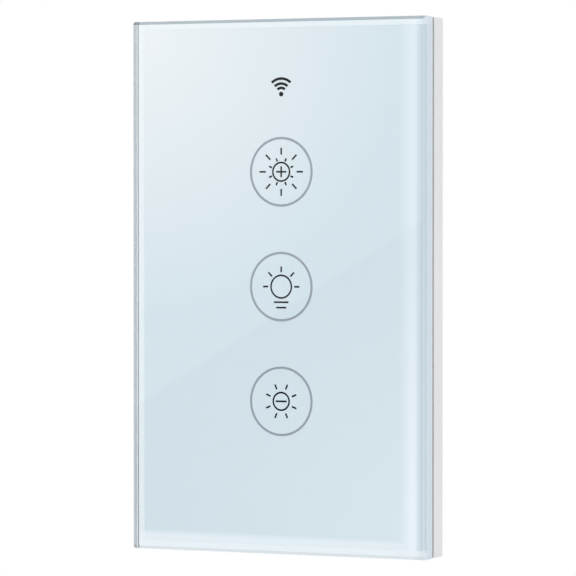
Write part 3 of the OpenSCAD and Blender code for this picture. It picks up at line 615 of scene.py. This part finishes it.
def borders():
    """What shows behind the glass's rim: print whitened with painted light, and
    foam darkened as painted shade for the gap.
    """
    lap = 0.01
    ink_inset = (PLATE_W - (INK_HIGH.x - INK_LOW.x)) / 2
    # painted light: pale print behind the rim, whitened for light entering at the
    # glass's edges
    band("print_and_painted_light_border", border_painted_light, 0.38, ink_inset - lap,
         INK_LOW.y, INK_HIGH.y)
    tape_low, tape_high = box_mm("panel_tape")
    tape_inset = (PLATE_W - (tape_high.x - tape_low.x)) / 2
    slack = 0.005
    # painted shade: foam carried out from the tape nearly to the glass's edge,
    # darker than the tape, for the shaded gap
    band("tape_and_painted_shade_border", foam_painted_shade, 0.16, tape_inset - lap,
         INK_HIGH.y + slack, tape_high.y - slack)


# Wire, lamps and signs

def tube(bm, points, radius, sides=8, closed=False):
    """Adds a round tube along points, none of whose steps runs along Y."""
    spare = Vector((0, 1, 0))
    n = len(points)
    rings = []
    for k, at in enumerate(points):
        before = points[k - 1] if k or closed else at
        after = points[(k + 1) % n] if k < n - 1 or closed else at
        along = (after - before).normalized()
        out = along.cross(spare).normalized()
        up = out.cross(along)
        rings.append([at + (out * math.cos(a) + up * math.sin(a)) * radius
                      for a in angles(sides)])
    if closed:
        rings.append(rings[0])
    skin(bm, rings, not closed)


def coil(name, node):
    """A smooth wire coil in the space of the CAD spring."""
    low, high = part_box(node)
    middle = (low + high) / 2
    wire_r = 0.22 * MM
    coil_r = (high.x - low.x) / 2 - wire_r
    # closed end turns lie flat, and the pitch grows softly out of them
    turns, flat, steps, softness = 4, 0.4, 40, 0.25
    foot, top = high.y - wire_r, low.y + wire_r
    points = []
    for k in range(turns * steps + 1):
        turn = k / steps
        a = 2 * math.pi * turn
        rise = min(1.0, max(0.0, (turn - flat) / (turns - 2 * flat)))
        soft = rise * rise * (3 - 2 * rise)
        rise = soft * softness + rise * (1 - softness)
        points.append(Vector((middle.x + coil_r * math.cos(a),
                              foot + (top - foot) * rise,
                              middle.z + coil_r * math.sin(a))))
    bm = bmesh.new()
    tube(bm, points, wire_r, sides=10)
    made = piece(name, bm, wire, "base", smooth=True)
    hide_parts(node)


def solder_ring(name, node):
    """Tinned pad with a soft fillet, where a spring's foot is soldered."""
    low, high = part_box(node)
    middle = (low + high) / 2
    # radius and height of the ring's section, in millimetres
    section = ((3.45, 0.0), (3.45, 0.03), (3.2, 0.10), (2.88, 0.2),
               (2.6, 0.10), (2.35, 0.03), (2.35, 0.0))
    bm = bmesh.new()
    ring_skin(bm, [[(middle.x + r * MM * math.cos(a), high.y - h * MM,
                     middle.z + r * MM * math.sin(a)) for a in angles(64)]
                   for r, h in section])
    piece(name, bm, solder, "base", smooth=True)


def block(bm, x, z, foot, top):
    """Adds a box between two X, two Z and two Y places, with a cut rim."""
    cut = 0.03 * MM
    skin(bm, [[(x[0] + r, y, z[0] + r), (x[1] - r, y, z[0] + r),
               (x[1] - r, y, z[1] - r), (x[0] + r, y, z[1] - r)]
              for r, y in ((cut, top), (0.0, top + cut), (0.0, foot))])


def small_lamp(name, node):
    """Indicator lamp: white carrier, tinned ends and a domed lens."""
    low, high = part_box(node)
    size, middle = high - low, (low + high) / 2
    foot, lip = high.y, high.y - 0.45 * size.y

    carrier = bmesh.new()
    block(carrier, (low.x, high.x), (low.z, high.z), foot, lip)
    piece(name + "_carrier", carrier, shield_plastic, "base")

    lens = bmesh.new()
    bmesh.ops.create_icosphere(lens, subdivisions=4, radius=1.0)
    squareness = 0.55
    for v in lens.verts:
        # squares the ball off into a cushion, with its lower half flat
        x, y, z = (math.copysign(abs(c) ** squareness, c) for c in v.co)
        v.co = (middle.x + x * size.x * 0.42, lip - max(0.0, -y) * size.y / 2,
                middle.z + z * size.z * 0.30)
    dome = piece(name + "_lens", lens, resin, "base",
                 smooth=True)
    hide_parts(node)

    ends = bmesh.new()
    for side in (-1, 1):
        z = sorted(middle.z + side * size.z * share for share in (0.36, 0.5))
        block(ends, (low.x, high.x), z, foot, foot - size.y / 2)
    piece(name + "_ends", ends, solder, "base")


def terminal_signs():
    """Raised signs in the housing's recess: supply, return, lamp, link."""
    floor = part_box("rear_housing")[1].y - 0.3 * MM
    above_screw, line_r = 6.3 * MM, 0.16 * MM
    bm = bmesh.new()

    def draw(screw, *strokes):
        """Draws strokes, in mm from a screw's sign, closed or open."""
        low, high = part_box(f"terminal_screw_{screw}")
        middle = (low + high) / 2
        for points, closed in strokes:
            tube(bm, [Vector((middle.x + x * MM, floor,
                              middle.z + above_screw + z * MM))
                      for x, z in points], line_r, closed=closed)

    def circle(r, x=0.0, z=0.0, steps=28):
        return [(x + r * math.cos(a), z + r * math.sin(a))
                for a in angles(steps)], True

    def line(*points):
        return points, False

    def wave(width, height, steps=24):
        return [(width * (k / steps - 0.5),
                 height * math.sin(2 * math.pi * k / steps))
                for k in range(steps + 1)], False

    lamp_r, dot_r, dot_x, dot_z = 1.25, 0.35, 1.2, 0.85
    d = lamp_r * math.sqrt(0.5)
    draw(1, wave(3.0, 0.7))
    draw(2, line((-1.3, 0.0), (1.3, 0.0)))
    draw(3, circle(lamp_r), line((-d, -d), (d, d)), line((-d, d), (d, -d)))
    draw(4, circle(dot_r, -dot_x, 0.0, 16), circle(dot_r, dot_x, dot_z, 16),
         circle(dot_r, dot_x, -dot_z, 16),
         line((-0.8, 0.12), (0.8, 0.72)), line((-0.8, -0.12), (0.8, -0.72)))
    piece("terminal_signs", bm, housing_plastic, "base",
          smooth=True)


glass_plate()
borders()
for field in FIELDS:
    coil("spring_coil_" + field, "touch_spring_" + field)
    solder_ring("spring_pad_" + field, "touch_spring_" + field)
for mark in MARKS:
    small_lamp("lamp_" + mark, "led_" + mark)
terminal_signs()


# Stage, camera and light

def stage_floor():
    """A floor that reads white and still takes the part's shadow."""
    bpy.ops.mesh.primitive_circle_add(vertices=96, radius=1.5,
                                      fill_type="NGON",
                                      location=(0, 0, -0.35))
    floor = bpy.context.object
    floor.name = "studio_floor"
    look = Look("floor_look")
    look.set(colour=look.mix(look.noise(3.0), (0.90, 0.90, 0.90),
                             (0.915, 0.915, 0.915)), rough=0.9, specular=0.1)
    rays = look.rays()
    # far from the part, the camera sees plain white; from below, nothing
    away = look.ramp(look.distance((0, 0, 0)), 0.25, 1.0, 0.25, 1.0,
                     smooth=True)
    far = look.math("MULTIPLY", away, rays["Is Camera Ray"])
    under = look.math("MULTIPLY", look.back_side(), rays["Is Camera Ray"])
    white = look.mix_surfaces(far, look.shader.outputs[0],
                              look.glow(Strength=1.0))
    nothing = look.node("ShaderNodeBsdfTransparent").outputs[0]
    look.show(look.mix_surfaces(under, white, nothing))
    floor.data.materials.append(look.mat)


def aim(obj, direction):
    """Turns a lamp, camera or card so that it looks along a direction."""
    obj.rotation_euler = direction.to_track_quat("-Z", "Y").to_euler()


def lamp(name, place, size, watts):
    """A square softbox that looks at the part and isn't seen itself."""
    data = bpy.data.lights.new(name, "AREA")
    data.shape = "RECTANGLE"
    data.size = data.size_y = size
    data.energy = watts
    obj = bpy.data.objects.new(name, data)
    bpy.context.scene.collection.objects.link(obj)
    obj.location = place
    aim(obj, -Vector(place))
    obj.visible_camera = False
    obj.visible_glossy = False


# The photograph's view: degrees to the right and up, and the camera's place
VIEW_SIDE, VIEW_UP = math.radians(26.0048), math.radians(1.1929)
CAMERA_AT = Vector((0.383975, -0.791053, 0.017875))
LENS = 247.057


def to_camera():
    """The direction from the part to the camera."""
    return Vector((math.sin(VIEW_SIDE) * math.cos(VIEW_UP),
                   -math.cos(VIEW_SIDE) * math.cos(VIEW_UP),
                   math.sin(VIEW_UP)))


def camera():
    data = bpy.data.cameras.new("camera")
    data.lens = LENS
    data.sensor_width = 36
    data.clip_start = 0.01
    data.clip_end = 20
    obj = bpy.data.objects.new("camera", data)
    bpy.context.scene.collection.objects.link(obj)
    obj.location = CAMERA_AT
    aim(obj, -to_camera())
    bpy.context.scene.camera = obj


# The card that the glass mirrors: its size and distance in metres
CARD_SIZE, CARD_AWAY = (0.55, 0.75), 1.2
# Its glow below and above a slanting edge
CARD_DIM, CARD_BRIGHT = 0.03, 0.62
# That edge's slope, drop and softness, where 1 is half the plate's width or
# height as the mirror shows it
EDGE_SLOPE, EDGE_DROP, EDGE_SOFT = 0.3556, 0.0535, 0.008


def mirrored_card():
    """Card in front of the glass, on the left, crossed by a faint edge."""
    mirror_eye = Vector((CAMERA_AT.x, -CAMERA_AT.y, CAMERA_AT.z))
    plate_front = Vector((0, PLATE_LOW.y * MM, 0))
    line = (plate_front - mirror_eye).normalized()
    bpy.ops.mesh.primitive_plane_add(size=1.0)
    card = bpy.context.object
    card.name = "studio_card"
    card.matrix_world = Matrix.Translation(
        plate_front + line * CARD_AWAY) @ \
        line.to_track_quat("-Z", "Y").to_matrix().to_4x4()
    for v in card.data.vertices:
        v.co.x *= CARD_SIZE[0]
        v.co.y *= CARD_SIZE[1]
    # the plane's own X points left in the picture, and its Y points up
    reach = (CAMERA_AT.length + CARD_AWAY) / CAMERA_AT.length
    half_w = PLATE_HIGH.x * MM * math.cos(VIEW_SIDE) * reach
    half_h = PLATE_HIGH.z * MM * reach
    look = Look("card_look")
    xyz = look.split()
    across = look.math("DIVIDE", xyz[0], -half_w)
    up = look.math("DIVIDE", xyz[1], half_h)
    line_up = look.math("MULTIPLY", across, EDGE_SLOPE)
    above = look.math("ADD", look.math("SUBTRACT", up, line_up), EDGE_DROP)
    look.show(look.glow(Strength=look.ramp(
        above, -EDGE_SOFT, EDGE_SOFT, CARD_DIM, CARD_BRIGHT, smooth=True)))
    card.data.materials.append(look.mat)
    card.visible_camera = False


def world():
    """White to the camera, in glass and in gloss, and softer as light."""
    soft, white = 0.68, 1.0
    made = bpy.data.worlds.new("world")
    made.use_nodes = True
    bpy.context.scene.world = made
    tree = made.node_tree
    back = tree.nodes["Background"]
    path = tree.nodes.new("ShaderNodeLightPath")
    seen = path.outputs["Is Camera Ray"]
    for ray in ("Is Transmission Ray", "Is Glossy Ray"):
        either = tree.nodes.new("ShaderNodeMath")
        either.operation = "MAXIMUM"
        tree.links.new(seen, either.inputs[0])
        tree.links.new(path.outputs[ray], either.inputs[1])
        seen = either.outputs[0]
    level = tree.nodes.new("ShaderNodeMapRange")
    level.inputs["To Min"].default_value = soft
    level.inputs["To Max"].default_value = white
    tree.links.new(seen, level.inputs["Value"])
    tree.links.new(level.outputs[0], back.inputs["Strength"])
    back.inputs["Color"].default_value = (1, 1, 1, 1)


stage_floor()
world()
camera()
mirrored_card()
lamp("key_light", (-0.75, -0.85, 0.95), size=0.7, watts=9.4)
lamp("right_light", (1.15, -0.45, 0.55), size=0.8, watts=4.1)
lamp("rear_light", (0.45, 1.2, 0.8), size=0.9, watts=6.0)

bpy.context.scene.view_settings.view_transform = "Standard"
